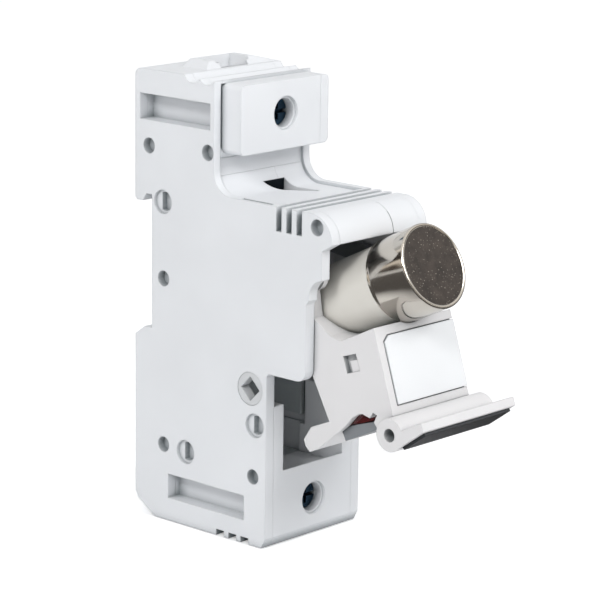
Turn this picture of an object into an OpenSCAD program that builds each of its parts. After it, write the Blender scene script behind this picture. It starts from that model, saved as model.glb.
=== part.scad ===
// One-pole fuse disconnector for a 22 x 58 mm cylindrical fuse, on a 35 mm rail.
// Frame: X is across the width, Y points back to the rail, Z is up. The origin is the
// middle of the face that seats on the rail. The tray is drawn open, as it stands for loading.

/* [Housing] */
// Width across the two shells
body_w = 36; // [34:0.5:40]
// Height of the top face above the rail centre
top_z = 51; // [49:0.5:55]
// Depth of the bottom face below the rail centre
bottom_z = 69; // [68:0.5:73]
// How far the back stands behind the rail seat
back_y = 6.2; // [5.5:0.1:7]
// Front of the upper base, forward of the rail seat
base_front = 22.4; // [22:0.1:24]
// Front of the upper terminal block
block_front = 28.8; // [28:0.1:31]
// Front of the lower block
foot_front = 41.5; // [40.5:0.1:44]
// Thickness of the side walls beside the tray
wall = 3; // [2.6:0.1:3.2]
// Half height of the nose below the rail centre
nose_low = 22.3; // [22.1:0.1:23]
// Height of the nose top above the rail centre
nose_top = 21.4; // [21:0.1:22.5]
// Front of the side walls beside the tray
nose_front = 54.9; // [54:0.1:55.2]
// Radius of the rounded hood at the front of the nose
hood_r = 7.2; // [7:0.05:7.6]
// Thickness of the hood and of the nose top
hood_wall = 2; // [1.6:0.1:2.1]

/* [Rail] */
// Height of the rail that the back takes
rail_h = 35; // [35:0.1:35.4]
// Travel of the rail clip
clip_travel = 4.5; // [3:0.5:5]
// Width of the rail clip
clip_w = 12; // [9:0.5:14]

/* [Terminals] */
// Sideways place of the upper terminal
upper_x = 1.8; // [1:0.1:2.4]
// Sideways place of the lower terminal
lower_x = 0.5; // [0:0.1:1]
// Height of the upper terminal screw
upper_z = 40.9; // [40.5:0.1:41.3]
// Depth of the lower terminal screw below the rail centre
lower_z = 59; // [58.5:0.1:59.3]
// Diameter of the screwdriver hole
access_d = 7.6; // [7.2:0.1:8]
// Inside width of a cage clamp
cage_w = 11; // [10:0.2:12]
// Travel of a cage clamp
cage_travel = 6; // [5:0.5:6]

/* [Tray] */
// Width of the handle in front of the side walls
handle_w = 35.8; // [34:0.2:36]
// Angle between the open and the closed tray
open_angle = 64; // [64:1:64]
// Radius of the handle barrel
barrel_r = 4.2; // [3.6:0.1:4.3]
// Radius of the linking pin hole in the barrel
link_r = 1.7; // [1.4:0.1:2]

/* [Fuse] */
// Diameter of the fuse caps
cap_d = 22.2; // [21.8:0.1:22.2]
// Length of the fuse
fuse_l = 58; // [57:0.5:58]
// Length of each fuse cap
cap_l = 13; // [11:0.5:16]
// Wall of a fuse cap
cap_wall = 0.7; // [0.5:0.05:0.9]

/* [Hidden] */
$fn = 48;

half_w = body_w / 2;
cav = half_w - wall;
cap_r = cap_d / 2;
tube_r = cap_r - cap_wall;
gap = 0.3;
// Between a fuse cap and a side wall stand a jaw, its spring and an arm, or a cheek and an arm
room = (cav - cap_r - 3 * gap) / 3;
jaw_in = cap_r + gap;
jaw_t = 1.2 * room;
jaw_out = jaw_in + jaw_t;
jaw_spring_t = 0.4 * room;
cheek_out = jaw_in + 1.6 * room;
arm_out = cav - gap;
tray_half = cav - gap;
arm_in = arm_out - 1.4 * room;
far = 200;
roof_under = nose_top - hood_wall;
hood_y = 56;
hood_z = nose_top - hood_r;
// Pivot of the swing arms, and where the tray hangs on them when it stands open
arm_pivot = [-29.788, 6.909];
tilt_open = [-52.726, 4.087];
// The tray is drawn closed about its handle barrel; this is the barrel's place when open
barrel_open = [-82.8, -30.2];
tilt_local = [44, -12];
// Axis of the fuse in the tray, behind the barrel
fuse_back = 36.4;
fuse_top = 15.7;
fuse_low = fuse_top - fuse_l;
pin_r = 1.5;
// Front face of the partition that carries the contacts, and the thickness of the contacts
seat_f = 10.7;
plate_t = 2;
cage_wall = 1.6;
cage_half = 4.8;
screw_r = 3;
head_r = 3.5;
shell_pin_r = 2.05;
shell_pins_at = [[1.1, 31], [-20.2, 31.8], [-4.3, -3.5], [-4.4, -48.4]];
bush_at = [-35.8, -27.3];
bush_r = 4.3;
fuse_floor = 51.8;
rim_x = 15.6;
rim_depth = 0.8;
foot_mouth = 31.6;
hood_back = 20.4;
rail_half = rail_h / 2;
hook_z = rail_half + 0.7;
// Front of the lips that hold the rail's edges
lip_y = 2.1;
clip_tongue = 34;
low_seam = 25.6;
hood_seam = 5;
spring_floor = 45.4;

// Helpers

module across(from_x, to_x)
{
    translate([from_x, 0, 0])
        rotate([90, 0, 90])
            linear_extrude(height = to_x - from_x)
                children();
}

// A profile in (x, z) carried along Y
module along(from_y, to_y)
{
    translate([0, to_y, 0])
        rotate([90, 0, 0])
            linear_extrude(height = to_y - from_y)
                children();
}

module rod(r, from_x, to_x, at)
{
    translate([from_x, at[0], at[1]])
        rotate([0, 90, 0])
            cylinder(h = to_x - from_x, r = r);
}

module shaft(r, front_f, back_f, x, z)
{
    translate([x, -back_f, z])
        rotate([90, 0, 0])
            cylinder(h = front_f - back_f, r = r);
}

// A block between two x, two distances forward of the seat, and two heights
module block(x0, x1, f0, f1, z0, z1)
{
    translate([x0, -f1, z0])
        cube([x1 - x0, f1 - f0, z1 - z0]);
}

module both_sides()
{
    children();
    mirror([1, 0, 0])
        children();
}

// Housing

module side_profile()
{
    difference()
    {
        union()
        {
            polygon([[4.2, top_z], [-base_front, top_z], [-base_front, nose_top],
                [-hood_y, nose_top], [-hood_y - hood_r, hood_z], [-59.8, hood_z - 2], [-59.8, 4],
                [-nose_front, -2], [-nose_front, 3 - nose_low], [3 - nose_front, -nose_low],
                [-foot_front - 0.7, -nose_low], [-foot_front, -nose_low - 0.7],
                [-foot_front, 2.6 - bottom_z], [1.3 - foot_front, -bottom_z], [-1.2, -bottom_z],
                [0.5, 0.9 - bottom_z], [5.1, 3.8 - bottom_z], [back_y, 5.7 - bottom_z],
                [back_y, -rail_half - 2.5], [2.8, -rail_half], [0, -rail_half], [0, hook_z], [lip_y, hook_z],
                [lip_y + 1.3, hook_z - 2], [5.6, hook_z - 2], [back_y, hook_z - 1.3], [back_y, top_z - 2]]);
            translate([back_y - 2, top_z - 2])
                circle(r = 2);
            translate([-hood_y, hood_z])
                intersection()
                {
                    circle(r = hood_r);
                    translate([-hood_r, 0])
                        square([2 * hood_r, hood_r]);
                }
            translate([3 - nose_front, 3 - nose_low])
                circle(r = 3);
            difference()
            {
                translate([-base_front - 6, nose_top])
                    square([6, 6]);
                translate([-base_front - 6, nose_top + 6])
                    circle(r = 6);
            }
        }
        translate([-60.5, 0])
            circle(r = barrel_r + 0.6);
        for (y = [-14.65, -19.85])
            translate([y, top_z + 1.3])
                circle(r = 3.2);
        for (y = [-25.45, -29.9, -34.25])
            translate([y - 1.4, -bottom_z - 1])
                square([2.8, 2.6]);
    }
}

module tray_room_profile()
{
    polygon([[-seat_f, roof_under], [-seat_f, -foot_mouth], [-far, -foot_mouth], [-far, hood_z],
        [-hood_y - hood_r + hood_wall, hood_z], [-hood_y, roof_under]]);
    translate([-hood_y, hood_z])
        circle(r = hood_r - hood_wall);
}

// The low end of the fuse passes here as the tray shuts
module fuse_way_profile()
{
    polygon([[-seat_f, roof_under], [-seat_f, -fuse_floor], [2.5 - foot_front, -fuse_floor],
        [-foot_front - 0.1, 2.8 - fuse_floor], [-far, 2.8 - fuse_floor], [-far, roof_under]]);
}

module terminal_room(x, z, bar_f, front_f)
{
    side = cage_w / 2 + cage_wall + gap;
    tall = cage_half + gap;
    block(x - side, x + side, bar_f - 8.8, bar_f + 5 + cage_travel + gap, z - tall, z + tall);
    shaft(access_d / 2, front_f + 1, bar_f, x, z);
    shaft(access_d / 2 + 0.6, front_f + 1, front_f - 0.8, x, z);
}

module cable_funnel()
{
    block(upper_x - 5, upper_x + 5, 3.4, 10.4, upper_z, top_z + 4);
    intersection()
    {
        across(upper_x - 6.6, upper_x + 6.6)
            polygon([[-2.4, top_z + 3], [-3.4, top_z - 1.2], [-9.6, top_z - 1.2], [-9.6, top_z + 3]]);
        along(-12, 0)
            polygon([[upper_x - 5, top_z - 1.2], [upper_x - 6.6, top_z + 3], [upper_x + 6.6, top_z + 3],
                [upper_x + 5, top_z - 1.2]]);
    }
}

module funnel_collar()
{
    intersection()
    {
        across(-8.8, half_w - 1)
            polygon([[-1.6, top_z - 0.5], [-2.4, top_z + 2], [-9.2, top_z + 2], [-10.9, top_z - 0.5]]);
        along(-12, 0)
            polygon([[-8.8, top_z - 0.5], [-8.8, top_z], [-6.5, top_z + 2], [10, top_z + 2], [half_w - 1, top_z + 0.3],
                [half_w - 1, top_z - 0.5]]);
    }
}

// The block in front of the upper terminal has round corners
module upper_block()
{
    low = 31.5;
    high = 49.5;
    left = -14.8;
    r = 1.5;
    along(-block_front, 1 - base_front)
    {
        translate([left, low + r])
            square([half_w - left, high - low - 2 * r]);
        translate([left + r, low])
            square([half_w - left - 2 * r, high - low]);
        for (x = [left + r, half_w - r])
            for (z = [low + r, high - r])
                translate([x, z])
                    circle(r = r);
    }
}

// The side walls stand proud of the front between them, as a rim
module front_recess_profile()
{
    intersection()
    {
        union()
        {
            translate([-base_front - 6, nose_top + 6])
                square([6 + rim_depth, top_z]);
            translate([-base_front - 6, nose_top + 6])
                circle(r = 6 + rim_depth);
            translate([-43.4, nose_top - rim_depth])
                square([43.4 - base_front - 6, 6]);
        }
        translate([-60, nose_top - 1])
            square([60 - base_front + rim_depth, top_z - nose_top - 0.5]);
    }
}

// room_half says how far to each side the room for the tray is cut
module housing(room_half)
{
    difference()
    {
        union()
        {
            difference()
            {
                across(-half_w, half_w)
                    side_profile();
                across(-rim_x, rim_x)
                    front_recess_profile();
            }
            upper_block();
            funnel_collar();
        }
        across(-room_half, room_half)
            tray_room_profile();
        across(-jaw_in, jaw_in)
            fuse_way_profile();
        terminal_room(upper_x, upper_z, seat_f, block_front);
        terminal_room(lower_x, -lower_z, 23.5, foot_front);
        cable_funnel();
        block(lower_x - 5, lower_x + 5, 16.8, 23.2, -bottom_z - 1, -lower_z);
        // Slots that the contact plates stand in
        block(upper_x - 5.3, upper_x + 5.3, seat_f - 0.01, seat_f + plate_t + gap, 15, 47.6);
        block(-jaw_out - gap, jaw_out + gap, seat_f, 26, -54.2, -28.2);
        block(-jaw_out - gap - jaw_spring_t, jaw_out + gap + jaw_spring_t, seat_f, 28, -44, -28.2);
        block(lower_x - 5.3, lower_x + 5.3, 23.5, 25.8, -65.6, -52);
        // Room for the rail clip and its spring
        block(-13, 13, 2.2, 8.7, -spring_floor, 14);
        block(-clip_w / 2 - gap, clip_w / 2 + gap, -lip_y - 1.6, -0.2, -bottom_z - 1, 0.5 - rail_half);
        block(-3.8, 3.8, -0.3, 2.3, -clip_tongue - clip_travel - 1.9, -31);
        for (at = shell_pins_at)
            rod(shell_pin_r + 0.03, -half_w - 1, half_w + 1, at);
        both_sides()
        {
            rod(bush_r + 0.05, cav - 1, half_w + 1, bush_at);
            rod(pin_r + 0.02, cav - 1, cav + 2.2, arm_pivot);
        }
        side_details();
        nose_details();
    }
}

module d_hole(at)
{
    rod(3.2, -half_w - 1, 1 - half_w, at);
    difference()
    {
        rod(2.5, -half_w - 1, 2.7 - half_w, at);
        block(-half_w - 1, 3 - half_w, -at[0] - 3, -at[0] - 1.1, at[1] - 3, at[1] + 3);
    }
}

module side_details()
{
    block(-half_w - 1, 5 - half_w, -4.5, 21, 37.7, 44.5);
    block(-half_w - 1, 4.5 - half_w, 6.1, 33.9, -62.8, -56.2);
    for (at = [[-4, 16.8], [-12.6, -48.9], [-37.5, -36.8]])
        d_hole(at);
    rod(2, -half_w - 1, 2.4 - half_w, [-37, -50.5]);
    rod(2.1, -half_w - 1, 2.4 - half_w, [-58.1, 18]);
}

module nose_details()
{
    // Slots in the side that run on as grooves over the nose
    for (f = [44.3, 47.75, 51.2])
    {
        block(-half_w - 1, -15.4, f, f + 1.8, 15.1, nose_top + 1);
        block(-half_w - 1, half_w + 1, f, f + 1.8, nose_top - 0.7, nose_top + 1);
    }
    block(-17.3, -16.2, 31.5, 42, nose_top - 0.9, nose_top + 1);
    // An opening in the corner behind the hood
    translate([0, 0, roof_under - 1])
        linear_extrude(height = 5.2)
            polygon([[-0.9, -23.4], [7.2, -23.4], [8.8, -34.6], [7.6, -35]]);
}

module cover_region()
{
    block(cav, half_w + 1, -far, far, -far, far);
    block(hood_seam, half_w + 1, hood_back, far, 0, low_seam);
}

module left_shell()
{
    color("WhiteSmoke")
        intersection()
        {
            housing(cav - 1);
            block(-half_w - 1, -cav, -far, far, -far, far);
        }
}

module right_cover()
{
    color("WhiteSmoke")
        intersection()
        {
            housing(cav);
            cover_region();
        }
}

module core(x1, f0, f1, z0, z1)
{
    intersection()
    {
        housing(half_w + 1);
        block(-cav, x1, f0, f1, z0, z1);
    }
}

module upper_housing()
{
    color("WhiteSmoke")
        core(cav, -far, far, low_seam, far);
}

module rail_base()
{
    color("WhiteSmoke")
        core(cav, -far, hood_back, -nose_low - 0.7, low_seam);
}

module nose_hood()
{
    color("WhiteSmoke")
        core(hood_seam, hood_back, far, 0, low_seam);
}

module lower_housing()
{
    color("WhiteSmoke")
        core(cav, -far, far, -far, -nose_low - 0.7);
}

module shell_pins()
{
    color("WhiteSmoke")
        for (at = shell_pins_at)
            rod(shell_pin_r, 2.2 - half_w, half_w - 2.2, at);
}

module coupling_bush()
{
    color("Gainsboro")
        both_sides()
            difference()
            {
                rod(bush_r, cav + 0.1, half_w - 0.1, bush_at);
                translate([half_w, bush_at[0], bush_at[1]])
                    rotate([45, 0, 0])
                        cube([8, 4.6, 4.6], center = true);
            }
}

// Rail clip

module rail_clip()
{
    color("DimGray")
        difference()
        {
            union()
            {
                block(-clip_w / 2, clip_w / 2, -lip_y - 1.3, -0.5, 1 - bottom_z, -rail_half - 0.3);
                block(-clip_w / 2, clip_w / 2, -lip_y - 1.3, -lip_y, -rail_half - 0.5, 1.3 - rail_half);
                block(-3.5, 3.5, -1, 7.4, -clip_tongue, -31.5);
            }
            block(-2.5, 2.5, -4, 1, 3 - bottom_z, 6 - bottom_z);
        }
}

module clip_spring()
{
    color("Silver")
        translate([0, -5.2, -spring_floor])
        {
            translate([0, 0, 0.35])
                linear_extrude(height = 10.7, twist = -360 * 5, slices = 60, $fn = 6)
                    translate([2.2, 0])
                        circle(r = 0.38, $fn = 6);
            for (z = [0, 10.7])
                translate([0, 0, z])
                    difference()
                    {
                        cylinder(h = 0.7, r = 2.6);
                        translate([0, 0, -1])
                            cylinder(h = 3, r = 1.8);
                    }
        }
}

// Terminals and jaws

module jaw(z0, z1)
{
    block(-jaw_out, jaw_out, seat_f, seat_f + plate_t, z0, z1);
    both_sides()
        block(jaw_in, jaw_out, seat_f, 26.5, z0, z1);
}

module jaw_spring(z0, z1)
{
    both_sides()
        block(jaw_out, jaw_out + jaw_spring_t, 13, 25.5, z0, z1);
}

module upper_contact()
{
    color("Silver")
        union()
        {
            jaw(1.5, 14.5);
            block(upper_x - 5, upper_x + 5, seat_f, seat_f + plate_t, 14, 47.4);
        }
}

module upper_jaw_spring()
{
    color("LightSteelBlue")
        jaw_spring(5, 11);
}

module lower_contact()
{
    color("Silver")
        union()
        {
            jaw(-41.5, -28.5);
            block(-jaw_out, jaw_out, seat_f, seat_f + plate_t, -53.9, -41);
            block(-jaw_out, jaw_out, seat_f, 25.5, -53.9, -52);
            block(lower_x - 5, lower_x + 5, 23.5, 25.5, -65.3, -52);
        }
}

module lower_jaw_spring()
{
    color("LightSteelBlue")
        jaw_spring(-38, -32);
}

module cage(x, z, bar_f)
{
    wide = cage_w / 2 + cage_wall;
    difference()
    {
        block(x - wide, x + wide, bar_f - 8.5, bar_f + 5, z - cage_half, z + cage_half);
        block(x - cage_w / 2, x + cage_w / 2, bar_f - 6.5, bar_f + 2.3, z - 6, z + 6);
        shaft(screw_r + 0.05, bar_f + 6, bar_f, x, z);
    }
}

module clamp_screw(x, z, bar_f)
{
    difference()
    {
        union()
        {
            shaft(screw_r, bar_f + 11.8, bar_f + 2.02, x, z);
            shaft(head_r, bar_f + 14.8, bar_f + 11.6, x, z);
        }
        block(x - 4, x + 4, bar_f + 13.4, bar_f + 15, z - 0.5, z + 0.5);
        block(x - 0.5, x + 0.5, bar_f + 13.4, bar_f + 15, z - 2.2, z + 2.2);
    }
}

module upper_cage()
{
    color("SlateGray")
        cage(upper_x, upper_z, seat_f);
}

module upper_screw()
{
    color("SteelBlue")
        clamp_screw(upper_x, upper_z, seat_f);
}

module lower_cage()
{
    color("SlateGray")
        cage(lower_x, -lower_z, 23.5);
}

module lower_screw()
{
    color("SteelBlue")
        clamp_screw(lower_x, -lower_z, 23.5);
}

// Swing arms and their pins

module arm_pins()
{
    color("Silver")
        both_sides()
            rod(pin_r, arm_in, cav + 2.2, arm_pivot);
}

module arm()
{
    along = tilt_open - arm_pivot;
    reach = norm(along);
    turn = atan2(along[1], along[0]);
    difference()
    {
        across(arm_in, arm_out)
            translate(arm_pivot)
                rotate(turn)
                {
                    circle(r = 3.4);
                    translate([reach, 0])
                        circle(r = 3.4);
                    translate([0, -2.6])
                        square([reach, 5.2]);
                }
        rod(pin_r + 0.05, arm_in - 1, cav, arm_pivot);
        rod(pin_r + 0.05, arm_in - 1, cav, tilt_open);
    }
}

module swing_arms()
{
    color("Gray")
        both_sides()
            arm();
}

module tilt_pins()
{
    color("Silver")
        both_sides()
            rod(pin_r, jaw_in + 0.1, arm_out, tilt_open);
}

// Tray, drawn closed with its barrel at the origin

module placed_open()
{
    translate([0, barrel_open[0], barrel_open[1]])
        rotate([open_angle, 0, 0])
            children();
}

module tray_profile()
{
    polygon([[26.2, 3.3], [3, 0], [2.5, -6], [4.4, -6.5], [5.8, -4.8], [6.8, -5.8], [5.8, -7.4],
        [7.3, -9.2], [7.7, -10.5], [7.4, -12.9], [5.9, -16.5], [3, -27.5], [3, -30.8], [4.6, -31.6],
        [6.5, -31.5], [8.8, -27.7], [8.5, -21], [26.2, -21.8], [39.8, -21.8], [39.8, -13.3],
        [34.2, -15.1], [28.4, -11.5], [26.2, -8.6]]);
}

module cheek_profile()
{
    difference()
    {
        union()
        {
            polygon([[26, -21.8], [40, -21.8], [47.4, -13], [47, -10], [42.1, -11.5], [39.8, -13.3],
                [34.2, -15.1], [28.4, -11.5], [26, -8.6]]);
            translate(tilt_local)
                circle(r = 3.5);
        }
        translate(tilt_local)
            circle(r = pin_r + 0.02);
    }
}

module tray()
{
    color("White")
        placed_open()
            difference()
            {
                union()
                {
                    across(-tray_half, tray_half)
                        tray_profile();
                    both_sides()
                        across(jaw_in, cheek_out)
                            cheek_profile();
                }
                rod(barrel_r + 0.02, -handle_w, handle_w, [0, 0]);
                fuse_space();
                label_space();
                plate_space();
                side_pocket();
            }
}

module handle()
{
    color("White")
        placed_open()
            difference()
            {
                union()
                {
                    rod(barrel_r, -handle_w / 2, handle_w / 2, [0, 0]);
                    across(-handle_w / 2, handle_w / 2)
                        polygon([flap_foot, flap_tip, [0.1, 11.3], [0.3, 9.9], [0, 3.4], [0, 0]]);
                }
                rod(link_r, -handle_w, handle_w, [0, 0]);
                flap_plate_space();
            }
}

module fuse_space()
{
    translate([0, fuse_back, -60])
        cylinder(h = 90, r = cap_r + 0.05);
    block(-cap_r - 0.05, cap_r + 0.05, -far, -fuse_back, -60, 10);
}

// The marking panel lies on the tray's top face, which slopes by label_slope
label_slope = 8.1;
panel_l = 17.2;

module on_top_face()
{
    translate([0, 3, 0])
        rotate([label_slope, 0, 0])
            children();
}

module panel_shape(grow)
{
    translate([-grow, -grow])
        polygon([[-12, 3.7], [tray_half + 1, 3.7], [tray_half + 1, 3.7 + panel_l + 2 * grow],
            [-10.2, 3.7 + panel_l + 2 * grow], [-12, 2.3 + panel_l + 2 * grow]]);
}

module label_space()
{
    on_top_face()
        translate([0, 0, -0.9])
            linear_extrude(height = 3)
                panel_shape(0.25);
}

module label_panel()
{
    color("White")
        placed_open()
            on_top_face()
                intersection()
                {
                    translate([0, 0, -0.9])
                        linear_extrude(height = 1.2)
                            panel_shape(0);
                    translate([-20, 0, -2])
                        cube([20 + tray_half, 40, 6]);
                }
}

// The flap's outer face, and the direction along it
flap_foot = [-3.9, 0.7];
flap_tip = [-2.1, 11];

module on_flap()
{
    along_flap = flap_tip - flap_foot;
    translate([0, flap_foot[0], flap_foot[1]])
        rotate([atan2(along_flap[1], along_flap[0]), 0, 0])
            children();
}

module plate_space()
{
    block(-cap_r - 1.6, cap_r + 1.6, -9, -2, -20, -4.5);
}

module flap_plate_space()
{
    on_flap()
        translate([-handle_w / 2 + 1.2, 0.9, -0.01])
            cube([handle_w - 2.4, 8.7, 0.81]);
}

module flap_plate()
{
    color("DimGray")
        placed_open()
            on_flap()
                translate([-handle_w / 2 + 1.4, 1.1, 0])
                    cube([handle_w - 2.8, 8.3, 0.8]);
}

// The plate behind the handle closes the front of the shut tray
module front_plate()
{
    color("SlateGray")
        placed_open()
            across(-cap_r - 1.4, cap_r + 1.4)
                polygon([[2.6, -19.8], [2.6, -7.7], [4.7, -8], [5.7, -16], [5.9, -19.8]]);
}

module indicator_lens()
{
    color("DarkRed")
        placed_open()
            across(-cap_r - 1.4, cap_r + 1.4)
                polygon([[4.95, -8.1], [6.4, -7.2], [8.7, -8.5], [8.7, -19.5], [6.2, -19.5], [5.95, -16]]);
}

// A pocket in each side of the tray, deepest along its upper and left edges
module side_pocket()
{
    both_sides()
        translate([tray_half, 22.5, -9.4])
            rotate([7, 0, 0])
            {
                translate([-0.4, -4.4, 0])
                    cube([2, 4.4, 4.4]);
                translate([-1.5, -1.5, 0])
                    cube([2, 1.5, 4.4]);
                translate([-1.5, -4.4, 0])
                    cube([2, 4.4, 1.6]);
            }
}

// Fuse

module in_tray()
{
    placed_open()
        translate([0, fuse_back, 0])
            children();
}

module fuse_cap(z)
{
    difference()
    {
        translate([0, 0, z])
            cylinder(h = cap_l, r = cap_r);
        translate([0, 0, fuse_low + 1])
            cylinder(h = fuse_l - 2, r = tube_r + 0.02);
    }
}

module fuse_tube()
{
    color("Ivory")
        in_tray()
            translate([0, 0, fuse_low + 1.02])
                cylinder(h = fuse_l - 2.04, r = tube_r);
}

module fuse_cap_front()
{
    color("Silver")
        in_tray()
            fuse_cap(fuse_top - cap_l);
}

module fuse_cap_rear()
{
    color("Silver")
        in_tray()
            fuse_cap(fuse_low);
}

left_shell();
right_cover();
upper_housing();
rail_base();
nose_hood();
lower_housing();
shell_pins();
coupling_bush();
rail_clip();
clip_spring();
upper_contact();
upper_jaw_spring();
upper_cage();
upper_screw();
lower_contact();
lower_jaw_spring();
lower_cage();
lower_screw();
arm_pins();
swing_arms();
tilt_pins();
tray();
handle();
label_panel();
flap_plate();
front_plate();
indicator_lens();
fuse_tube();
fuse_cap_front();
fuse_cap_rear();
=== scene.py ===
# Looks of a one-pole fuse disconnector with its fuse tray swung open.
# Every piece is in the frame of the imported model: metres, X across, Y back to the rail, Z up.

import math

import bpy
import numpy as np
from mathutils import Matrix


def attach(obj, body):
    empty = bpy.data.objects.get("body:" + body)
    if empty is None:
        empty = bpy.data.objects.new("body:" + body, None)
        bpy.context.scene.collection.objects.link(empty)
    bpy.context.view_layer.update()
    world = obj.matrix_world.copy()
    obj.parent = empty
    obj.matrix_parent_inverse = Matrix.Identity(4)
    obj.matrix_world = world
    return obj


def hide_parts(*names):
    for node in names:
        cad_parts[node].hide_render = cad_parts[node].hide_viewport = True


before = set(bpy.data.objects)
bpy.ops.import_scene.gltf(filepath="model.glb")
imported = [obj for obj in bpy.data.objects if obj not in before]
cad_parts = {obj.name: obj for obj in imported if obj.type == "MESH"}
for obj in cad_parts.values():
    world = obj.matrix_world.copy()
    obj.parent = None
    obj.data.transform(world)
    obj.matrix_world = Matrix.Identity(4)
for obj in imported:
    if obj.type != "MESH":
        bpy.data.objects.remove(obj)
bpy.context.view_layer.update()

bl_info = {
    "name": "Fuse disconnector",
    "version": (1, 0, 0),
    "blender": (4, 5, 0),
    "location": "3D Viewport > Sidebar > Disconnector",
    "description": "Dresses the packed fuse disconnector and sets its studio",
    "category": "Add Mesh",
}

MM = 0.001
QUARTER = math.pi / 2

# Lengths are in millimetres as far as the view's. The tray is worked out shut, about its handle barrel, and
# turned open by this much about X
TRAY_TURN = math.radians(64)
TRAY_BARREL = np.array([0.0, -82.8, -30.2])

# The fuse in the shut tray: how far its axis is behind the barrel, its upper end and its length
FUSE_BACK = 36.4
FUSE_TOP = 15.7
FUSE_LENGTH = 58.0

# A fuse cap: its wall, and its side from the mouth up as steps of (depth under the side, height). They are
# the inner edge, the lip, a bead and the groove behind it
CAP_WALL = 0.62
CAP_MOUTH = ((CAP_WALL, 0.0), (0.12, 0.0), (0.03, 0.1), (0.03, 0.7), (0.1, 0.95), (0.0, 1.3))
# Its end: the flat of the rim, where the rim has dropped to the end wall, the drop, and the wall's inner face
RIM_FLAT = 0.35
RIM_WIDTH = 0.5
RIM_DROP = 0.12
END_DEPTH = 0.8
# The dark face lies in the rim, this far to this far under its top. Profiles stop this near the axis
FACE_TOP = 0.1
FACE_FOOT = 0.3
AXIS = 0.01

# The round front of the hood: the line it is struck about, as Y and Z, its outer radius, its wall, its half
# width and where its seam is
HOOD_CENTRE = (-56.0, 14.2)
HOOD_RADIUS = 7.2
HOOD_WALL = 2.0
HOOD_SIDE = 15.0
HOOD_SEAM = 5.0
# How far its outer face stands proud of the solid, the angle in radians from which that fades, and how far
# it sinks
HOOD_PROUD = 0.02
HOOD_FADE = 1.1
HOOD_SUNK = 0.01

# Two corners of the dark plate in the opening behind the hood: painted shade, which stands for the shadow
# inside that opening
SHADE_PLATE = ((-0.7, -23.5, 18.6), (7.1, -23.42, 22.65))

# The view fitted to the photograph: its turns in radians, the focal length as a share of the picture's width,
# a point of the object, and where that lies from the camera before its roll: to the right, up and ahead
VIEW_YAW = 0.82865
VIEW_PITCH = 0.22941
VIEW_ROLL = -0.01313
VIEW_FOCUS = 2782.9 / 600
VIEW_CENTRE = np.array([0.0, -23.84, 9.79])
VIEW_OFFSET = (-9.122, 18.108, 723.13)
FILM_WIDTH = 36

# The paper in metres: its height, half its width, its near edge, where its sweep starts, the sweep's radius
# and its top
PAPER_LEVEL = -0.0692
PAPER_HALF = 2.4
PAPER_NEAR = -1.6
PAPER_FAR = 0.6
PAPER_SWEEP = 0.5
PAPER_TOP = 2.2

# Lamps in metres: where they stand, what both point at, and the sides of their screens
KEY_PLACE = (0.15, -0.95, 0.68)
KEY_SCREEN = (0.7, 0.5)
FILL_PLACE = (-0.85, -0.3, 0.7)
FILL_SCREEN = (0.3, 0.3)
LAMP_TARGET = (0, -0.03, 0)

# Nearly all of a noise texture's values lie between these two
NOISE_LOW = 0.3
NOISE_HIGH = 0.7


# Numbers and colours


def linear(hex_colour):
    """sRGB hex, such as d9dbdd, to the linear colour that Blender's shaders take."""
    srgb = np.array([int(hex_colour[i : i + 2], 16) for i in (0, 2, 4)]) / 255
    out = np.where(srgb <= 0.04045, srgb / 12.92, ((srgb + 0.055) / 1.055) ** 2.4)
    return (*out.tolist(), 1.0)


def opened(points):
    """Points of the shut tray, in millimetres about its barrel, turned open: (y, z) becomes
    (y cos t - z sin t, y sin t + z cos t). They come out in the row's frame in metres."""
    c, s = math.cos(TRAY_TURN), math.sin(TRAY_TURN)
    turn = np.array([[1, 0, 0], [0, c, -s], [0, s, c]])
    return (points @ turn.T + TRAY_BARREL) * MM


# Meshes


def mesh_object(name, points, faces, material):
    """An object at the origin, from points in metres and quads as rows of their numbers."""
    mesh = bpy.data.meshes.new(name)
    mesh.from_pydata(points.tolist(), [], np.asarray(faces).tolist())
    mesh.materials.append(material)
    mesh.validate()
    mesh.update()
    made = bpy.data.objects.new(name, mesh)
    bpy.context.scene.collection.objects.link(made)
    return made


def mesh_piece(name, points, faces, material, body, place=None):
    """A piece that rides on a body, from its points in millimetres. place carries them into the row's
    frame."""
    points = np.asarray(points, float).reshape(-1, 3)
    points = place(points) if place else points * MM
    piece = mesh_object(name, points, faces, material)
    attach(piece, body)
    return piece


def ring_faces(rings, around, closed=False):
    """Quads between neighbouring rings of points, each ring having the same number of points around it.
    Corner (i, j) joins (i, j + 1), (i + 1, j + 1) and (i + 1, j), with j taken round the ring."""
    last = rings if closed else rings - 1
    i, j = np.meshgrid(np.arange(last), np.arange(around), indexing="ij")
    k = (j + 1) % around
    n = (i + 1) % rings
    return np.stack([i * around + j, i * around + k, n * around + k, n * around + j], -1).reshape(-1, 4)


def lathe(profile, around=96):
    """A closed profile of (radius, height) turned about Z: x = r cos a, y = r sin a, z = h, for a round the
    circle."""
    profile = np.asarray(profile, float)
    a = np.linspace(0, 2 * math.pi, around, endpoint=False)
    x = profile[:, 0, None] * np.cos(a)
    y = profile[:, 0, None] * np.sin(a)
    z = np.repeat(profile[:, 1, None], around, 1)
    return np.stack([x, y, z], -1), ring_faces(len(profile), around, closed=True)


def smooth(piece, angle):
    """Shades a piece smooth, except across edges sharper than the angle in degrees."""
    piece.data.shade_smooth()
    piece.data.set_sharp_from_angle(angle=math.radians(angle))


def stand(thing, side, up, back, place):
    """Stands a lamp or a camera at a place, with its own X, Y and Z along side, up and back."""
    rows = [[side[k], up[k], back[k], place[k]] for k in range(3)]
    thing.matrix_world = Matrix(rows + [[0, 0, 0, 1]])


# Materials


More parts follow.
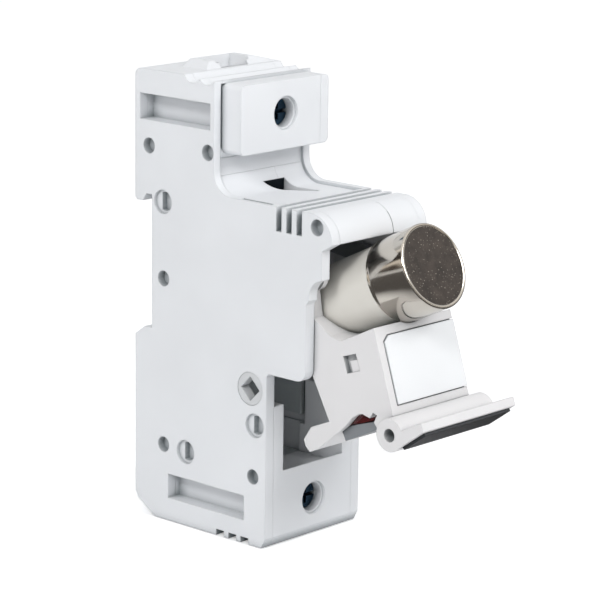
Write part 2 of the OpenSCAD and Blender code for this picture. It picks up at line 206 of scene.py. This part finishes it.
def node(tree, kind, settings=None, links=None, stops=(), **attributes):
    """Adds one shader node, sets its inputs and attributes, and links its inputs to other nodes' outputs.
    stops are a colour ramp's, as (place, sRGB hex)."""
    new = tree.nodes.new(kind)
    for key, value in attributes.items():
        setattr(new, key, value)
    for key, value in (settings or {}).items():
        new.inputs[key].default_value = value
    for key, (source, output) in (links or {}).items():
        tree.links.new(source.outputs[output], new.inputs[key])
    if stops:
        elements = new.color_ramp.elements
        while len(elements) > 1:
            elements.remove(elements[-1])
        for index, (place, colour) in enumerate(stops):
            element = elements[0] if index == 0 else elements.new(place)
            element.position = place
            element.color = linear(colour)
    return new


def finish(name, sockets, pattern):
    """A material whose shader has these sockets set. pattern adds the nodes of its surface."""
    material = bpy.data.materials.new(name)
    material.use_nodes = True
    tree = material.node_tree
    tree.nodes.clear()
    shader = node(tree, "ShaderNodeBsdfPrincipled", sockets)
    node(tree, "ShaderNodeOutputMaterial", links={"Surface": (shader, "BSDF")})
    pattern(tree, shader)
    return material


def relief(tree, shader, height, output, strength, depth, edge=0.0):
    """Raises the surface by a height pattern to a depth in metres, and shades its corners as if they were
    rounded to the radius edge, in metres."""
    raised = node(tree, "ShaderNodeBump", {"Strength": strength, "Distance": depth},
                  {"Height": (height, output)})
    if edge:
        corner = node(tree, "ShaderNodeBevel", {"Radius": edge}, samples=6)
        tree.links.new(corner.outputs["Normal"], raised.inputs["Normal"])
    tree.links.new(raised.outputs["Normal"], shader.inputs["Normal"])


def uneven_gloss(tree, shader, noise, rough, less, more):
    """Lets a noise carry the roughness from rough - less to rough + more."""
    span = {"From Min": NOISE_LOW, "From Max": NOISE_HIGH, "To Min": rough - less, "To Max": rough + more}
    spread = node(tree, "ShaderNodeMapRange", span, {"Value": (noise, "Fac")})
    tree.links.new(spread.outputs["Result"], shader.inputs["Roughness"])


def moulded_polyamide(name, light, shade, rough, edge=0.0004):
    """Glass-filled polyamide, injection moulded: a fine spark-eroded grain breaks up the gloss, slow flow
    marks shift the tone by a hair, and painted shade greys hollows and the feet of steps."""

    def pattern(tree, shader):
        place = node(tree, "ShaderNodeTexCoord")
        # Flow marks about 25 mm long
        flow = node(tree, "ShaderNodeTexNoise", {"Scale": 40.0, "Detail": 2.0, "Roughness": 0.5},
                    {"Vector": (place, "Object")})
        tone = node(tree, "ShaderNodeValToRGB", links={"Fac": (flow, "Fac")},
                    stops=((NOISE_LOW, shade), (NOISE_HIGH, light)))
        # Painted shade: the colour is greyed where other faces stand within 4 mm, in hollows and at the feet
        # of steps
        crevice_occlusion = node(tree, "ShaderNodeAmbientOcclusion", {"Distance": 0.004}, samples=6)
        painted_crevice_shade = node(tree, "ShaderNodeValToRGB", links={"Fac": (crevice_occlusion, "AO")},
                    stops=((0.2, "8a9294"), (0.7, "ffffff")))
        # Painted shade: the tone is multiplied by the grey of the hollows
        shaded_tone = node(tree, "ShaderNodeMix", {"Factor": 1.0}, {"A": (tone, "Color"), "B": (painted_crevice_shade, "Color")},
                      data_type="RGBA", blend_type="MULTIPLY")
        tree.links.new(shaded_tone.outputs["Result"], shader.inputs["Base Color"])
        # Erosion grain is about 0.1 mm, and is drawn at 0.35 mm so that it shows
        grain = node(tree, "ShaderNodeTexNoise", {"Scale": 2800.0, "Detail": 2.0, "Roughness": 0.6},
                     {"Vector": (place, "Object")})
        uneven_gloss(tree, shader, grain, rough, 0.05, 0.06)
        relief(tree, shader, grain, "Fac", 0.25, 0.00003, edge)

    return finish(name, {"IOR": 1.53, "Specular IOR Level": 0.45}, pattern)


def nickel_plate(name, colour, rough):
    """Nickel plate over drawn brass: a clear but warm mirror, a little unsettled by waves about 8 mm long."""

    def pattern(tree, shader):
        place = node(tree, "ShaderNodeTexCoord")
        wave = node(tree, "ShaderNodeTexNoise", {"Scale": 120.0, "Detail": 3.0, "Roughness": 0.55},
                    {"Vector": (place, "Object")})
        uneven_gloss(tree, shader, wave, rough, 0.04, 0.07)
        relief(tree, shader, wave, "Fac", 0.12, 0.0001)

    return finish(name, {"Base Color": linear(colour), "Metallic": 1.0}, pattern)


def speckled_end(name):
    """The end of the cap, darkened and sprinkled with bright grains of flux. They are about 0.1 mm across and
    are drawn at 0.2 mm so that they show, in cells of 0.5 mm of which some have a grain."""

    def pattern(tree, shader):
        place = node(tree, "ShaderNodeTexCoord")
        cells = node(tree, "ShaderNodeTexVoronoi", {"Scale": 2000.0}, {"Vector": (place, "Object")})
        # Stains about 4 mm across
        stain = node(tree, "ShaderNodeTexNoise", {"Scale": 260.0, "Detail": 4.0, "Roughness": 0.7},
                     {"Vector": (place, "Object")})
        ground = node(tree, "ShaderNodeValToRGB", links={"Fac": (stain, "Fac")},
                      stops=((0.35, "2f2925"), (0.65, "453d37")))
        chance = node(tree, "ShaderNodeTexWhiteNoise", links={"Vector": (cells, "Color")},
                      noise_dimensions="3D")
        near = node(tree, "ShaderNodeMapRange",
                    {"From Min": 0.12, "From Max": 0.3, "To Min": 1.0, "To Max": 0.0},
                    {"Value": (cells, "Distance")})
        picked = node(tree, "ShaderNodeMapRange", {"From Min": 0.6, "From Max": 0.95},
                      {"Value": (chance, "Value")})
        grain = node(tree, "ShaderNodeMath", links={0: (near, "Result"), 1: (picked, "Result")},
                     operation="MULTIPLY")
        both = node(tree, "ShaderNodeMix", {"B": linear("b5aca0")},
                    {"Factor": (grain, 0), "A": (ground, "Color")}, data_type="RGBA")
        tree.links.new(both.outputs["Result"], shader.inputs["Base Color"])
        relief(tree, shader, cells, "Distance", 0.25, 0.00006)

    return finish(name, {"Metallic": 0.3, "Roughness": 0.42}, pattern)


def glazed_steatite(name):
    """Steatite ceramic under a thin clear glaze: warm cream, with pores about 0.4 mm across."""

    def pattern(tree, shader):
        place = node(tree, "ShaderNodeTexCoord")
        pores = node(tree, "ShaderNodeTexNoise", {"Scale": 2200.0, "Detail": 2.0, "Roughness": 0.6},
                     {"Vector": (place, "Object")})
        # The glaze pools in patches about 17 mm across
        warm = node(tree, "ShaderNodeTexNoise", {"Scale": 60.0, "Detail": 2.0}, {"Vector": (place, "Object")})
        tone = node(tree, "ShaderNodeValToRGB", links={"Fac": (warm, "Fac")},
                    stops=((NOISE_LOW, "d3d0c8"), (NOISE_HIGH, "dedbd4")))
        tree.links.new(tone.outputs["Color"], shader.inputs["Base Color"])
        relief(tree, shader, pores, "Fac", 0.2, 0.00003)

    return finish(name, {"Roughness": 0.35, "IOR": 1.55, "Coat Weight": 0.3, "Coat Roughness": 0.15}, pattern)


def plated_metal(name, colour, rough, metallic=1.0):
    """Pressed or turned metal under a thin plate: soft gloss with the blotches of the plating bath, about
    5 mm across. A tarnished plate is less metallic."""

    def pattern(tree, shader):
        place = node(tree, "ShaderNodeTexCoord")
        blotch = node(tree, "ShaderNodeTexNoise", {"Scale": 220.0, "Detail": 3.0, "Roughness": 0.6},
                      {"Vector": (place, "Object")})
        uneven_gloss(tree, shader, blotch, rough, 0.07, 0.1)
        relief(tree, shader, blotch, "Fac", 0.15, 0.00005)

    return finish(name, {"Base Color": linear(colour), "Metallic": metallic}, pattern)


def clear_lens(name, colour):
    """Tinted polycarbonate, polished: deep colour under a hard gloss, with waves about 3 mm long."""

    def pattern(tree, shader):
        place = node(tree, "ShaderNodeTexCoord")
        wave = node(tree, "ShaderNodeTexNoise", {"Scale": 300.0, "Detail": 1.0},
                    {"Vector": (place, "Object")})
        relief(tree, shader, wave, "Fac", 0.05, 0.00003)

    sockets = {"Base Color": linear(colour), "Roughness": 0.12, "IOR": 1.58, "Coat Weight": 0.5}
    return finish(name, sockets, pattern)


# Sizes and colours that a user would change


class HousingLook(bpy.types.PropertyGroup):
    plastic: bpy.props.StringProperty(
        name="Plastic", description="Colour of the housing, sRGB hex", default="dfe1e4")
    edge: bpy.props.FloatProperty(
        name="Edge round", description="Radius of the moulded edges",
        default=0.00045, min=0, max=0.001, unit="LENGTH")
    seam: bpy.props.FloatProperty(
        name="Hood seam", description="Width of the parting line in the hood's front",
        default=0.0002, min=0.00005, max=0.0005, unit="LENGTH")


class FuseLook(bpy.types.PropertyGroup):
    cap_radius: bpy.props.FloatProperty(
        name="Cap radius", description="Outer radius of a fuse cap",
        default=0.0111, min=0.008, max=0.0111, unit="LENGTH")
    cap_length: bpy.props.FloatProperty(
        name="Cap length", description="Length of a fuse cap",
        default=0.013, min=0.01, max=0.016, unit="LENGTH")
    edge: bpy.props.FloatProperty(
        name="Cap edge", description="Radius of the cap's drawn edge",
        default=0.00045, min=0.0003, max=0.002, unit="LENGTH")


class StageLook(bpy.types.PropertyGroup):
    floor: bpy.props.StringProperty(
        name="Floor", description="Colour of the floor, sRGB hex", default="f4f5f6")
    lift: bpy.props.FloatProperty(
        name="Lift", description="Light that the paper adds where it is seen", default=0.33, min=0, max=1)
    key: bpy.props.FloatProperty(
        name="Key light", description="Power of the main lamp", default=6.3, min=0, max=100)
    fill: bpy.props.FloatProperty(
        name="Fill light", description="Power of the side lamp", default=5.6, min=0, max=100)
    sky: bpy.props.FloatProperty(
        name="Sky", description="Strength of the even light all round", default=0.5, min=0, max=2)


def dress(material, *names):
    """Gives carried-over CAD nodes a material."""
    for name in names:
        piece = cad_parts[name]
        piece.data.materials.clear()
        piece.data.materials.append(material)


class DISCONNECTOR_OT_housing(bpy.types.Operator):
    """Gives the moulded housing its finish, and builds the round front wall of its hood"""

    bl_idname = "disconnector.housing"
    bl_label = "Housing"

    def execute(self, context):
        look = context.scene.disconnector_housing
        plastic = moulded_polyamide("moulded_polyamide_housing", look.plastic, "dadcdf", 0.5, look.edge)
        dress(plastic, "left_shell", "right_cover", "upper_housing", "rail_base", "nose_hood",
              "lower_housing", "shell_pins")
        dress(moulded_polyamide("moulded_polyamide_disc", "cfd1d3", "c8cacc", 0.45), "coupling_bush")
        dress(moulded_polyamide("moulded_polyamide_clip", "55585c", "4c4f53", 0.45), "rail_clip")

        # The wall runs from the hood's tip up over the top: y = cy - r cos a, z = cz + r sin a. Its outer
        # face fades under the solid at the top, so that it ends without a line
        a = np.linspace(0, QUARTER, 40)
        outer = HOOD_RADIUS + np.interp(a, [0, HOOD_FADE, QUARTER], [HOOD_PROUD, HOOD_PROUD, -HOOD_SUNK])
        inner = HOOD_RADIUS - HOOD_WALL
        cy, cz = HOOD_CENTRE
        over, under = [(cy - r * np.cos(a), cz + r * np.sin(a)) for r in (outer, inner)]
        gap = look.seam / MM / 2
        last = 4 * (len(a) - 1)
        ends = [[3, 2, 1, 0], [last, last + 1, last + 2, last + 3]]
        for name, x0, x1 in (("left", -HOOD_SIDE, HOOD_SEAM - gap), ("right", HOOD_SEAM + gap, HOOD_SIDE)):
            corners = ((x0, over), (x1, over), (x1, under), (x0, under))
            rings = np.stack([np.stack([np.full(len(a), x), *arc], -1) for x, arc in corners], 1)
            faces = np.concatenate([ring_faces(len(a), 4), ends])
            wall = mesh_piece("hood_front_%s" % name, rings, faces, plastic, "housing")
            smooth(wall, 35)
        return {"FINISHED"}


class DISCONNECTOR_OT_tray(bpy.types.Operator):
    """Gives the tray, its marking panel, its two dark plates and the lens their finish"""

    bl_idname = "disconnector.tray"
    bl_label = "Tray"

    def execute(self, context):
        dress(moulded_polyamide("moulded_polyamide_tray", "dcdbdc", "d7d6d7", 0.45), "tray", "handle")
        dress(moulded_polyamide("moulded_polyamide_panel", "e9ebed", "e5e7e9", 0.4), "label_panel")
        dress(moulded_polyamide("moulded_polyamide_plate", "7d8185", "767a7e", 0.45), "front_plate")
        dress(moulded_polyamide("polished_polyamide_window", "34363a", "2e3034", 0.5), "flap_plate")
        dress(clear_lens("tinted_polycarbonate_lens", "4a0c10"), "indicator_lens")
        return {"FINISHED"}


class DISCONNECTOR_OT_metal(bpy.types.Operator):
    """Gives the metal pieces their plated finish, and builds a dark plate behind the hood as painted shade"""

    bl_idname = "disconnector.metal"
    bl_label = "Metal pieces"

    def execute(self, context):
        dress(plated_metal("zinc_plated_steel", "a3a6aa", 0.38), "clip_spring", "upper_jaw_spring",
              "lower_jaw_spring", "arm_pins", "tilt_pins", "swing_arms", "upper_cage", "lower_cage")
        dress(plated_metal("blued_zinc_screw", "2a3f50", 0.3), "upper_screw", "lower_screw")
        dress(plated_metal("silver_plated_copper", "c3c9cb", 0.55, 0.3), "upper_contact", "lower_contact")

        # A dark plate closes the back of the opening behind the hood: painted shade, which stands for the
        # shadow inside it. Its points are all the ways to take X, Y and Z from one corner or the other
        points = np.stack(np.meshgrid(*np.array(SHADE_PLATE).T, indexing="ij"), -1).reshape(-1, 3)
        faces = [[0, 1, 3, 2], [4, 6, 7, 5], [0, 4, 5, 1], [2, 3, 7, 6], [0, 2, 6, 4], [1, 5, 7, 3]]
        shade_black = plated_metal("painted_shade_black", "1d242a", 0.4)
        shade_plate = mesh_piece("painted_shade_plate", points, faces, shade_black, "housing")
        return {"FINISHED"}


class DISCONNECTOR_OT_fuse(bpy.types.Operator):
    """Builds the fuse: a glazed tube and two drawn caps with rounded edges and darkened ends"""

    bl_idname = "disconnector.fuse"
    bl_label = "Fuse"

    def execute(self, context):
        look = context.scene.disconnector_fuse
        r, length, edge = look.cap_radius / MM, look.cap_length / MM, look.edge / MM
        nickel = nickel_plate("nickel_plated_cap", "c9c3ba", 0.09)
        dark = speckled_end("darkened_cap_end")
        dress(glazed_steatite("glazed_steatite_tube"), "fuse_tube")

        # Half profile of a cap, its mouth at height 0 and its end at its length: the side, a quarter round,
        # a rim that drops to the end wall, and that wall
        shoulder = r - edge
        side = [(r - depth, height) for depth, height in CAP_MOUTH] + [(r, length - edge)]
        a = np.linspace(0, QUARTER, 9)[1:]
        turn = np.stack([shoulder + edge * np.cos(a), length - edge + edge * np.sin(a)], -1)
        drop = length - RIM_DROP
        rim = [(shoulder - RIM_FLAT, length), (shoulder - RIM_WIDTH, drop), (AXIS, drop)]
        wall = [(AXIS, length - END_DEPTH), (r - CAP_WALL, length - END_DEPTH)]
        drawn = lathe(np.concatenate([side, turn, rim, wall]))
        # The dark face is a disc: two radii at two heights
        reach, top, foot = shoulder - RIM_WIDTH, length - FACE_TOP, length - FACE_FOOT
        disc = lathe([(AXIS, top), (reach, top), (reach, foot), (AXIS, foot)])
        for name, way in (("front", 1), ("rear", -1)):

            # The rear cap is the front one after half a turn about Y
            def place(p, way=way):
                z = FUSE_TOP - length + p[:, 2] if way > 0 else FUSE_TOP - FUSE_LENGTH + length - p[:, 2]
                return opened(np.stack([p[:, 0] * way, p[:, 1] + FUSE_BACK, z], -1))

            cap = mesh_piece("fuse_cap_%s_shell" % name, *drawn, nickel, "carrier", place)
            face = mesh_piece("fuse_cap_%s_face" % name, *disc, dark, "carrier", place)
            smooth(cap, 40)
            smooth(face, 40)
            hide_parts("fuse_cap_%s" % name)
        return {"FINISHED"}


def seen_rays(tree, mirrored=1.0):
    """1 for a ray that the camera sees, mirrored for one that a mirror or the lens sends on, otherwise 0."""
    path = node(tree, "ShaderNodeLightPath")
    either = node(tree, "ShaderNodeMath",
                  links={0: (path, "Is Glossy Ray"), 1: (path, "Is Transmission Ray")}, operation="MAXIMUM")
    return node(tree, "ShaderNodeMath", {1: mirrored}, {0: (either, 0), 2: (path, "Is Camera Ray")},
                operation="MULTIPLY_ADD")


def matt_paper(name, colour, lift):
    """White paper: matt, with fibres about 2.5 mm long, and brighter where it is seen, so that it stays
    white. Mirrors see a dark ring on it, which stands for the room beyond the lamps."""

    def pattern(tree, shader):
        place = node(tree, "ShaderNodeTexCoord")
        fibre = node(tree, "ShaderNodeTexNoise", {"Scale": 400.0, "Detail": 2.0},
                     {"Vector": (place, "Object")})
        relief(tree, shader, fibre, "Fac", 0.05, 0.0001)
        # The stops of the ring are its distances from the origin in metres
        away = node(tree, "ShaderNodeVectorMath", links={0: (place, "Object")}, operation="LENGTH")
        ring = node(tree, "ShaderNodeValToRGB", links={"Fac": (away, "Value")},
                    stops=((0.0, colour), (0.09, colour), (0.115, "2f2a27"), (0.6, "3d3733"), (0.68, colour)))
        path = node(tree, "ShaderNodeLightPath")
        seen = node(tree, "ShaderNodeMix", {"A": linear(colour)},
                    {"Factor": (path, "Is Glossy Ray"), "B": (ring, "Color")}, data_type="RGBA")
        tree.links.new(seen.outputs["Result"], shader.inputs["Base Color"])
        glow = node(tree, "ShaderNodeMath", {1: lift}, {0: (seen_rays(tree, 0.15), 0)}, operation="MULTIPLY")
        tree.links.new(glow.outputs[0], shader.inputs["Emission Strength"])

    return finish(name, {"Emission Color": (1, 1, 1, 1), "Roughness": 0.9}, pattern)


def lay_paper(look):
    """The paper, square to the view. It lies flat, then sweeps up by a quarter turn, in which height is
    radius (1 - cos a) and reach is radius sin a, and stands upright."""
    a = np.linspace(0, QUARTER, 24)
    y = np.concatenate([[PAPER_NEAR], PAPER_FAR + PAPER_SWEEP * np.sin(a), [PAPER_FAR + PAPER_SWEEP]])
    z = np.concatenate([[0.0], PAPER_SWEEP * (1 - np.cos(a)), [PAPER_TOP]]) + PAPER_LEVEL
    x = np.array([-PAPER_HALF, PAPER_HALF])
    rows = [np.repeat(x[None], len(y), 0), np.repeat(y[:, None], 2, 1), np.repeat(z[:, None], 2, 1)]
    c, s = math.cos(VIEW_YAW), math.sin(VIEW_YAW)
    turn = np.array([[c, s, 0], [-s, c, 0], [0, 0, 1]])
    points = np.stack(rows, -1).reshape(-1, 3) @ turn.T
    i = np.arange(len(y) - 1)
    faces = np.stack([2 * i, 2 * i + 1, 2 * i + 3, 2 * i + 2], -1)
    floor = mesh_object("floor", points, faces, matt_paper("matt_white_paper", look.floor, look.lift))
    floor.data.shade_smooth()


def light_sky(scene, look):
    """An even sky. The camera sees it white, and mirrors see a room: white, with dark gaps between its
    screens, by height and bent by a slow noise."""
    world = bpy.data.worlds.new("even_sky")
    scene.world = world
    world.use_nodes = True
    tree = world.node_tree
    tree.nodes.clear()
    level = node(tree, "ShaderNodeMapRange", {"To Min": look.sky, "To Max": 1.0},
                 {"Value": (seen_rays(tree), 0)})
    path = node(tree, "ShaderNodeLightPath")
    way = node(tree, "ShaderNodeTexCoord")
    sides = node(tree, "ShaderNodeSeparateXYZ", links={"Vector": (way, "Generated")})
    waver = node(tree, "ShaderNodeTexNoise", {"Scale": 1.4, "Detail": 1.0}, {"Vector": (way, "Generated")})
    height = node(tree, "ShaderNodeMath", {1: 0.5, 2: 0.25}, {0: (sides, "Z")}, operation="MULTIPLY_ADD")
    bent = node(tree, "ShaderNodeMath", {1: 0.5}, {0: (waver, "Fac"), 2: (height, 0)},
                operation="MULTIPLY_ADD")
    room = node(tree, "ShaderNodeValToRGB", links={"Fac": (bent, 0)},
                stops=((0.0, "ddd2c2"), (0.38, "e8ded0"), (0.42, "4a433d"), (0.52, "58504a"),
                       (0.55, "efe7dc"), (0.585, "efe7dc"), (0.61, "3f3a36"), (0.7, "4c4641"),
                       (0.74, "fbf8f3"), (1.0, "ffffff")))
    tint = node(tree, "ShaderNodeMix", {"A": (1, 1, 1, 1)},
                {"Factor": (path, "Is Glossy Ray"), "B": (room, "Color")}, data_type="RGBA")
    sky = node(tree, "ShaderNodeBackground", links={"Color": (tint, "Result"), "Strength": (level, "Result")})
    node(tree, "ShaderNodeOutputWorld", links={"Surface": (sky, "Background")})


def place_lamp(scene, name, place, screen, power):
    """A lamp with a rectangular screen, pointed at the object and level with the floor."""
    data = bpy.data.lights.new(name, "AREA")
    data.shape = "RECTANGLE"
    data.size, data.size_y = screen
    data.energy = power
    lamp = bpy.data.objects.new(name, data)
    scene.collection.objects.link(lamp)
    back = np.array(place, float) - np.array(LAMP_TARGET, float)
    back /= np.linalg.norm(back)
    side = np.cross([0, 0, 1], back)
    side /= np.linalg.norm(side)
    stand(lamp, side, np.cross(back, side), back, place)


def place_camera(scene):
    """The camera of the photograph: yawed about Z, pitched, moved to see the centre at its offset, and
    rolled."""
    level = math.cos(VIEW_PITCH)
    back = np.array([-math.sin(VIEW_YAW) * level, -math.cos(VIEW_YAW) * level, math.sin(VIEW_PITCH)])
    right = np.cross([0, 0, 1], back)
    right /= np.linalg.norm(right)
    up = np.cross(back, right)
    across, above, ahead = VIEW_OFFSET
    place = (-across * right - above * up + ahead * back + VIEW_CENTRE) * MM
    c, s = math.cos(VIEW_ROLL), math.sin(VIEW_ROLL)
    data = bpy.data.cameras.new("camera")
    data.sensor_fit = "HORIZONTAL"
    data.sensor_width = FILM_WIDTH
    data.lens = FILM_WIDTH * VIEW_FOCUS
    data.clip_start = 0.01
    camera = bpy.data.objects.new("camera", data)
    scene.collection.objects.link(camera)
    stand(camera, c * right - s * up, s * right + c * up, back, place)
    scene.camera = camera


class DISCONNECTOR_OT_stage(bpy.types.Operator):
    """Sets the floor, the backdrop, the lamps, the sky and the camera at the photograph's angle"""

    bl_idname = "disconnector.stage"
    bl_label = "Stage"

    def execute(self, context):
        scene = context.scene
        look = scene.disconnector_stage
        scene.view_settings.view_transform = "Standard"
        lay_paper(look)
        light_sky(scene, look)
        place_lamp(scene, "key", KEY_PLACE, KEY_SCREEN, look.key)
        place_lamp(scene, "fill", FILL_PLACE, FILL_SCREEN, look.fill)
        place_camera(scene)
        return {"FINISHED"}


class DISCONNECTOR_PT_panel(bpy.types.Panel):
    """Lists the pieces of the disconnector and the values that shape them"""

    bl_label = "Fuse disconnector"
    bl_idname = "DISCONNECTOR_PT_panel"
    bl_space_type = "VIEW_3D"
    bl_region_type = "UI"
    bl_category = "Disconnector"

    def draw(self, context):
        for group, look in LOOKS:
            for name in look.__annotations__:
                self.layout.prop(getattr(context.scene, group), name)
        for piece in PIECES:
            self.layout.operator(piece.bl_idname)


PIECES = (
    DISCONNECTOR_OT_housing,
    DISCONNECTOR_OT_tray,
    DISCONNECTOR_OT_metal,
    DISCONNECTOR_OT_fuse,
    DISCONNECTOR_OT_stage,
)
LOOKS = (
    ("disconnector_housing", HousingLook),
    ("disconnector_fuse", FuseLook),
    ("disconnector_stage", StageLook),
)


def register():
    for name, look in LOOKS:
        bpy.utils.register_class(look)
        setattr(bpy.types.Scene, name, bpy.props.PointerProperty(type=look))
    for piece in PIECES:
        bpy.utils.register_class(piece)
    bpy.utils.register_class(DISCONNECTOR_PT_panel)


def unregister():
    bpy.utils.unregister_class(DISCONNECTOR_PT_panel)
    for piece in reversed(PIECES):
        bpy.utils.unregister_class(piece)
    for name, look in reversed(LOOKS):
        delattr(bpy.types.Scene, name)
        bpy.utils.unregister_class(look)


def main():
    register()
    bpy.ops.disconnector.housing()
    bpy.ops.disconnector.tray()
    bpy.ops.disconnector.metal()
    bpy.ops.disconnector.fuse()
    bpy.ops.disconnector.stage()


if __name__ == "__main__":
    main()
